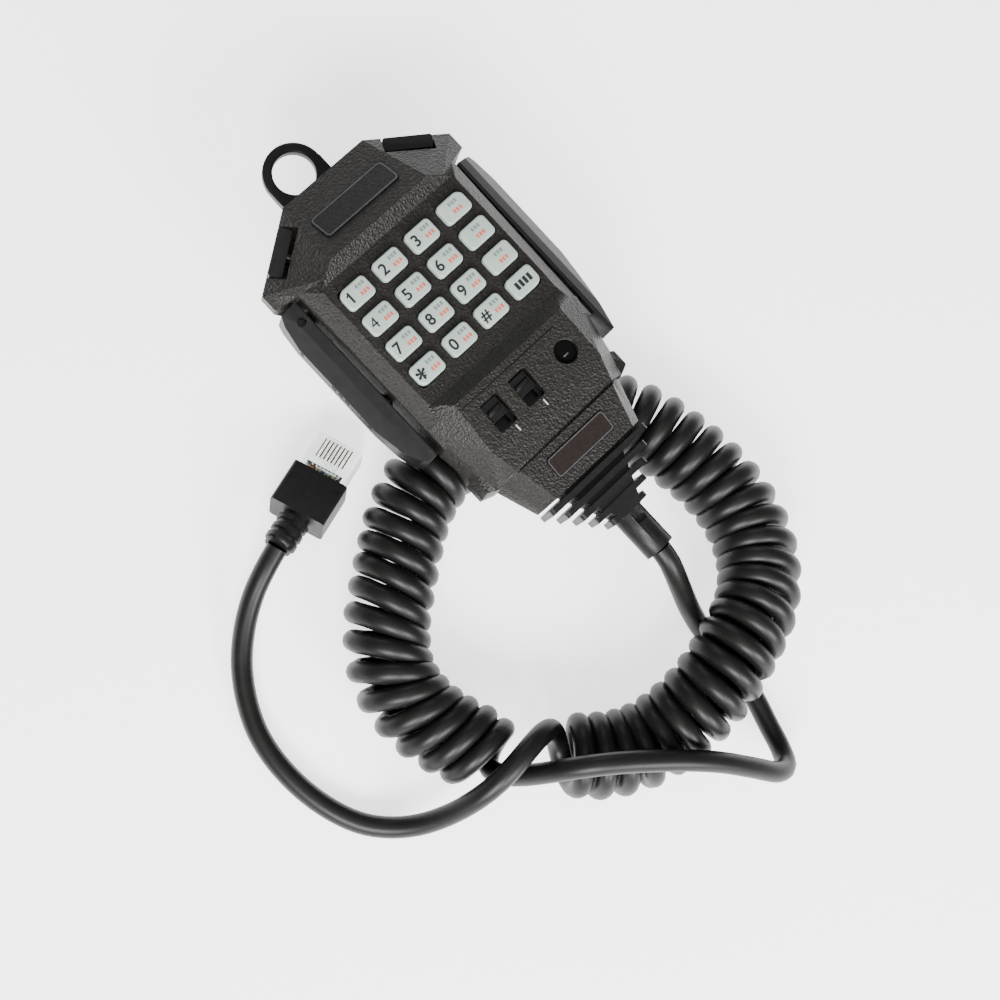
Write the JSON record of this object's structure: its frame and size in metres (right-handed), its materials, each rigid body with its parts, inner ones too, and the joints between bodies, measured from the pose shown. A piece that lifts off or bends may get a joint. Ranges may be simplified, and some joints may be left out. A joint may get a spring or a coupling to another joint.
{
  "type": "hand microphone",
  "caption": "Hand microphone with a raised keypad, a side talk bar, shoulder buttons, slide switches, a hanging ring, a hanger stud and a curly cord that ends in a modular plug.",
  "frame": {"origin": "on the surface that the hanger stud's flat head rests on, under the middle of the microphone from the hanging ring to the end of the strain relief", "axes": "+Z out of the keypad, +Y towards the hanging ring, +X towards the grip strip, away from the talk bar"},
  "size_m": [0.138, 0.1972, 0.044],
  "materials": {
    "abs_shell": "black ABS with a leather grain",
    "soft_black": "matt black rubber",
    "badge": "satin black with a thin grey outline",
    "label": "satin brown-black with a pale outline",
    "key_grey": "pale grey keys with dark legends",
    "plunger_white": "natural acetal",
    "switch_black": "black nylon",
    "switch_red": "red-brown switch button",
    "steel": "zinc-plated steel",
    "board_green": "green solder mask",
    "jacket": "smooth black cord jacket",
    "wire": "coloured wire insulation",
    "clear": "clear polycarbonate",
    "gold": "gold-plated contacts"
  },
  "bodies": {
    "housing": {"front_cover": "abs_shell", "rear_cover": "abs_shell", "hang_ring": "abs_shell", "grip_strip": "soft_black", "keypad_mat": "soft_black", "mic_boot": "soft_black", "strain_relief": "soft_black", "badge_plate": "badge", "label_plate": "label", "cord_header": "plunger_white", "ptt_switch": "switch_black", "up_switch": "switch_black", "down_switch": "switch_black", "controller_chip": "switch_black", "ring_screws": "steel", "hanger_stud": "steel", "stud_screw": "steel", "case_screws": "steel", "mic_capsule": "steel", "ptt_pin": "steel", "slide_switch_left": "steel", "slide_switch_right": "steel", "cord_clamp": "steel", "clamp_screws": "steel", "main_board": "board_green", "cord_core": "jacket", "cord_lead": "jacket", "cord_coil": "jacket", "cord_tail": "jacket", "plug_boot": "jacket", "header_wires": "wire", "plug_wires": "wire", "plug_body": "clear", "plug_contacts": "gold"},
    "talk_bar": {"ptt_bar": "abs_shell", "ptt_plunger": "plunger_white"},
    "talk_switch_button": {"ptt_switch_button": "switch_red"},
    "up_key": {"up_button": "soft_black"},
    "down_key": {"down_button": "soft_black"},
    "left_slider": {"slide_knob_left": "switch_black"},
    "right_slider": {"slide_knob_right": "switch_black"},
    "latch": {"plug_latch": "clear"},
    "key_1_body": {"key_1": "key_grey"},
    "key_2_body": {"key_2": "key_grey"},
    "key_3_body": {"key_3": "key_grey"},
    "key_a_body": {"key_a": "key_grey"},
    "key_4_body": {"key_4": "key_grey"},
    "key_5_body": {"key_5": "key_grey"},
    "key_6_body": {"key_6": "key_grey"},
    "key_b_body": {"key_b": "key_grey"},
    "key_7_body": {"key_7": "key_grey"},
    "key_8_body": {"key_8": "key_grey"},
    "key_9_body": {"key_9": "key_grey"},
    "key_c_body": {"key_c": "key_grey"},
    "key_star_body": {"key_star": "key_grey"},
    "key_0_body": {"key_0": "key_grey"},
    "key_hash_body": {"key_hash": "key_grey"},
    "key_d_body": {"key_d": "key_grey"}
  },
  "joints": [
    {"name": "talk_bar_hinge", "type": "hinge", "parent": "housing", "child": "talk_bar", "pos_m": [-0.0276, 0.02852, 0.03], "axis": [0, 0, 1], "range_deg": [0, 1.6], "stiffness_Nm_per_rad": 0.9, "springref_deg": -0.86},
    {"name": "talk_switch_slide", "type": "slide", "parent": "housing", "child": "talk_switch_button", "axis": [1, 0, 0], "range_m": [0, 0.0008]},
    {"name": "up_press", "type": "slide", "parent": "housing", "child": "up_key", "axis": [0.5645, -0.8254, 0], "range_m": [0, 0.0008], "stiffness_N_per_m": 1200},
    {"name": "down_press", "type": "slide", "parent": "housing", "child": "down_key", "axis": [-0.5645, -0.8254, 0], "range_m": [0, 0.0008], "stiffness_N_per_m": 1200},
    {"name": "left_slider_slide", "type": "slide", "parent": "housing", "child": "left_slider", "axis": [0, -1, 0], "range_m": [0, 0.0025]},
    {"name": "right_slider_slide", "type": "slide", "parent": "housing", "child": "right_slider", "axis": [0, -1, 0], "range_m": [0, 0.0025]},
    {"name": "latch_hinge", "type": "hinge", "parent": "housing", "child": "latch", "pos_m": [-0.03688, 0.00189, 0.00121], "axis": [-0.2926, 0.9411, -0.1692], "range_deg": [0, 8], "stiffness_Nm_per_rad": 0.02},
    {"name": "key_1_press", "type": "slide", "parent": "housing", "child": "key_1_body", "axis": [0, 0, -1], "range_m": [0, 0.0008], "stiffness_N_per_m": 600},
    {"name": "key_2_press", "type": "slide", "parent": "housing", "child": "key_2_body", "axis": [0, 0, -1], "range_m": [0, 0.0008], "stiffness_N_per_m": 600},
    {"name": "key_3_press", "type": "slide", "parent": "housing", "child": "key_3_body", "axis": [0, 0, -1], "range_m": [0, 0.0008], "stiffness_N_per_m": 600},
    {"name": "key_a_press", "type": "slide", "parent": "housing", "child": "key_a_body", "axis": [0, 0, -1], "range_m": [0, 0.0008], "stiffness_N_per_m": 600},
    {"name": "key_4_press", "type": "slide", "parent": "housing", "child": "key_4_body", "axis": [0, 0, -1], "range_m": [0, 0.0008], "stiffness_N_per_m": 600},
    {"name": "key_5_press", "type": "slide", "parent": "housing", "child": "key_5_body", "axis": [0, 0, -1], "range_m": [0, 0.0008], "stiffness_N_per_m": 600},
    {"name": "key_6_press", "type": "slide", "parent": "housing", "child": "key_6_body", "axis": [0, 0, -1], "range_m": [0, 0.0008], "stiffness_N_per_m": 600},
    {"name": "key_b_press", "type": "slide", "parent": "housing", "child": "key_b_body", "axis": [0, 0, -1], "range_m": [0, 0.0008], "stiffness_N_per_m": 600},
    {"name": "key_7_press", "type": "slide", "parent": "housing", "child": "key_7_body", "axis": [0, 0, -1], "range_m": [0, 0.0008], "stiffness_N_per_m": 600},
    {"name": "key_8_press", "type": "slide", "parent": "housing", "child": "key_8_body", "axis": [0, 0, -1], "range_m": [0, 0.0008], "stiffness_N_per_m": 600},
    {"name": "key_9_press", "type": "slide", "parent": "housing", "child": "key_9_body", "axis": [0, 0, -1], "range_m": [0, 0.0008], "stiffness_N_per_m": 600},
    {"name": "key_c_press", "type": "slide", "parent": "housing", "child": "key_c_body", "axis": [0, 0, -1], "range_m": [0, 0.0008], "stiffness_N_per_m": 600},
    {"name": "key_star_press", "type": "slide", "parent": "housing", "child": "key_star_body", "axis": [0, 0, -1], "range_m": [0, 0.0008], "stiffness_N_per_m": 600},
    {"name": "key_0_press", "type": "slide", "parent": "housing", "child": "key_0_body", "axis": [0, 0, -1], "range_m": [0, 0.0008], "stiffness_N_per_m": 600},
    {"name": "key_hash_press", "type": "slide", "parent": "housing", "child": "key_hash_body", "axis": [0, 0, -1], "range_m": [0, 0.0008], "stiffness_N_per_m": 600},
    {"name": "key_d_press", "type": "slide", "parent": "housing", "child": "key_d_body", "axis": [0, 0, -1], "range_m": [0, 0.0008], "stiffness_N_per_m": 600}
  ],
  "couplings": [
    {"joint": "talk_switch_slide", "follows": "talk_bar_hinge", "m_per_rad": 0.0259}
  ]
}
